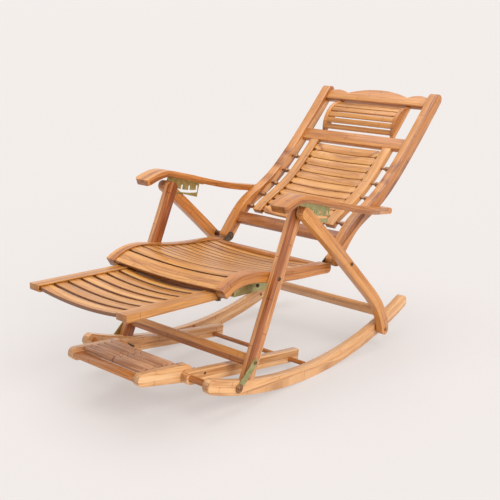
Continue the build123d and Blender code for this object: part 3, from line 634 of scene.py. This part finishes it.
# %% Its socket
bpy.ops.mesh.primitive_circle_add(vertices=SOCKET_SIDES, radius=SOCKET_RADIUS, fill_type="NOTHING",
                                  location=(0, 0, crown))
pick(head, lambda p: p.z > crown - HAIR)
bpy.ops.mesh.bridge_edge_loops()
pick(head, lambda p: p.z > crown - HAIR and math.hypot(p.x, p.y) < SOCKET_RADIUS + HAIR)
draw_out(-SOCKET_DEPTH)
bpy.ops.mesh.edge_face_add()
pick(head, lambda p: p.z < HAIR)
bpy.ops.mesh.edge_face_add()
bpy.ops.mesh.select_all(action="SELECT")
bpy.ops.mesh.normals_make_consistent(inside=False)
bpy.ops.object.mode_set(mode="OBJECT")
bpy.ops.object.shade_smooth_by_angle(angle=SMOOTH)
print("head has", len(head.data.polygons), "faces")

# %% [markdown]
# ## A head at each bolt
# The solids' bolts end in plain discs. A head could be set over a disc, but its rim would show, so
# the disc is cut off with Bisect and a copy of the head takes its place. A stub as thin as foil is
# left inside the head, because a cut exactly on a face leaves loose slivers. Without a window,
# transform.rotate turns the other way round, which is why the angle has the sign of -x.

# %% Cut and replace
# Bolts: the face that the head sits on, and the place from the side, in metres
HEADS = {"seat_bolts": [(0.2685, -0.18681, 0.34954)],
         "hinge_bolts": [(0.2975, 0.121, 0.331)],
         "leg_bolts": [(0.2975, 0.322, 0.06393), (0.271, -0.28990, 0.13005), (0.273, -0.357, 0.07399)]}
REACH = 0.02           # a bolt's own points lie this close to its middle
STUB = 0.0002          # what is left of a plain head, inside the new one


def take_head_off(bolts, x, y, z):
    """Cut a bolt just over the face that its head sits on."""
    edit(bolts)
    pick(bolts, lambda p: math.hypot(p.y - y, p.z - z) < REACH and p.x * x > 0)
    out = math.copysign(1, x)
    bpy.ops.mesh.bisect(plane_co=(x + out * STUB, 0, 0), plane_no=(out, 0, 0), use_fill=True,
                        clear_outer=True)
    bpy.ops.object.mode_set(mode="OBJECT")


def put_head(name, x, y, z, bolts):
    """A copy of the head, turned outwards and moved to its place."""
    piece = copy_of(head, name)
    edit(piece)
    bpy.ops.mesh.select_all(action="SELECT")
    bpy.ops.transform.rotate(value=math.copysign(math.pi / 2, -x), orient_axis="Y",
                             center_override=(0, 0, 0))
    bpy.ops.transform.translate(value=(x, y, z))
    bpy.ops.object.mode_set(mode="OBJECT")
    slot = slot_of_node[bolts]
    piece.data.materials.append(materials[LOOKS.get(bolts, slot)])
    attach(piece, "frame")
    return piece


for bolts, places in HEADS.items():
    for number, (x, y, z) in enumerate(places, start=1):
        for side, at in (("left", x), ("right", -x)):
            take_head_off(bpy.data.objects[f"{bolts}_dressed"], at, y, z)
            made = put_head(f"{bolts}_head_{number}_{side}", at, y, z, bolts)
            print(made.name, "reaches x", round(max((v.co.x for v in made.data.vertices), key=abs), 4))
bpy.data.objects.remove(head)

# %% [markdown]
# ## Floor
# The chair stands on a plain pale floor with a light shadow. A brighter lamp would pale the shadow
# but burn the bamboo too. Instead the floor is half lit and half glowing, and it glows only to rays
# that show the background: those from the camera, and those that metal or glass sends on. The chair
# gets no light from it.


# %% Rays that show the background
def rays_that_show(tree):
    """1 for rays that show the background, and 0 for rays that only carry light."""
    path = node(tree, "ShaderNodeLightPath").outputs
    glossy = node(tree, "ShaderNodeMath", {0: path["Is Camera Ray"], 1: path["Is Glossy Ray"]},
                  operation="MAXIMUM").outputs[0]
    return node(tree, "ShaderNodeMath", {0: glossy, 1: path["Is Transmission Ray"]},
                operation="MAXIMUM").outputs[0]


# %% Floor
FLOOR_SIZE = 1200      # metres, so that its far edge meets the horizon
GLOW = 0.5             # share of the floor's tone that no shadow darkens

bpy.ops.object.select_all(action="DESELECT")
bpy.ops.mesh.primitive_plane_add(size=FLOOR_SIZE, location=(0, 0, 0))
floor = bpy.context.object
floor.name = "floor"
material, tree, shader = new_material("pale floor")
feed(tree, shader, {"Base Color": linear("#DAD6D4"), "Roughness": 0.7, "Specular IOR Level": 0.2})
glow = node(tree, "ShaderNodeEmission", {"Color": linear("#F2EBE7"), "Strength": 1.0})
share = node(tree, "ShaderNodeMath", {0: rays_that_show(tree), 1: GLOW}, operation="MULTIPLY")
mix = node(tree, "ShaderNodeMixShader", {0: share.outputs[0], 1: shader.outputs[0], 2: glow.outputs[0]})
feed(tree, tree.nodes["Material Output"], {"Surface": mix.outputs[0]})
floor.data.materials.append(material)
print("floor", FLOOR_SIZE, "m wide")

# %% [markdown]
# ## Light
# A studio lights furniture with big soft boxes. Area lamps would do, but they fade with distance
# and have to be sized. Suns with a wide angle give the same soft shadows everywhere. A key from the
# sitter's left, one overhead and a weak one in front, under a pale sky, show the bamboo about as
# its colours are written. The sky that rays see is painted as pale as the far floor, so that the
# horizon hardly shows.

# %% Sky
SKY = {"Color": linear("#F4F4F4"), "Strength": 0.5}
BACKDROP = {"Color": linear("#F5EFEC"), "Strength": 1.0}

world = bpy.data.worlds.new("studio")
scene.world = world
world.use_nodes = True
tree = world.node_tree
sky = tree.nodes["Background"]
feed(tree, sky, SKY)
seen = node(tree, "ShaderNodeBackground", BACKDROP)
mix = node(tree, "ShaderNodeMixShader",
           {0: rays_that_show(tree), 1: sky.outputs[0], 2: seen.outputs[0]})
feed(tree, tree.nodes["World Output"], {"Surface": mix.outputs[0]})
print("sky at strength", SKY["Strength"])

# %% Suns
# Each sun: where it shines from, the angle that softens its shadows, in degrees, and its strength
SUNS = {"key": ((3.0, -0.6, 2.2), 44, 2.2),
        "overhead": ((-0.8, 0.1, 4.0), 50, 1.3),
        "fill": ((-0.6, -3.0, 1.2), 50, 0.12)}

for name, (place, softness, strength) in SUNS.items():
    bpy.ops.object.light_add(type="SUN", location=place)
    sun = bpy.context.object
    sun.name = name
    sun.data.angle = math.radians(softness)
    sun.data.energy = strength
    sun.rotation_euler = (-sun.location).to_track_quat("-Z", "Y").to_euler()
    print("sun", name, strength)
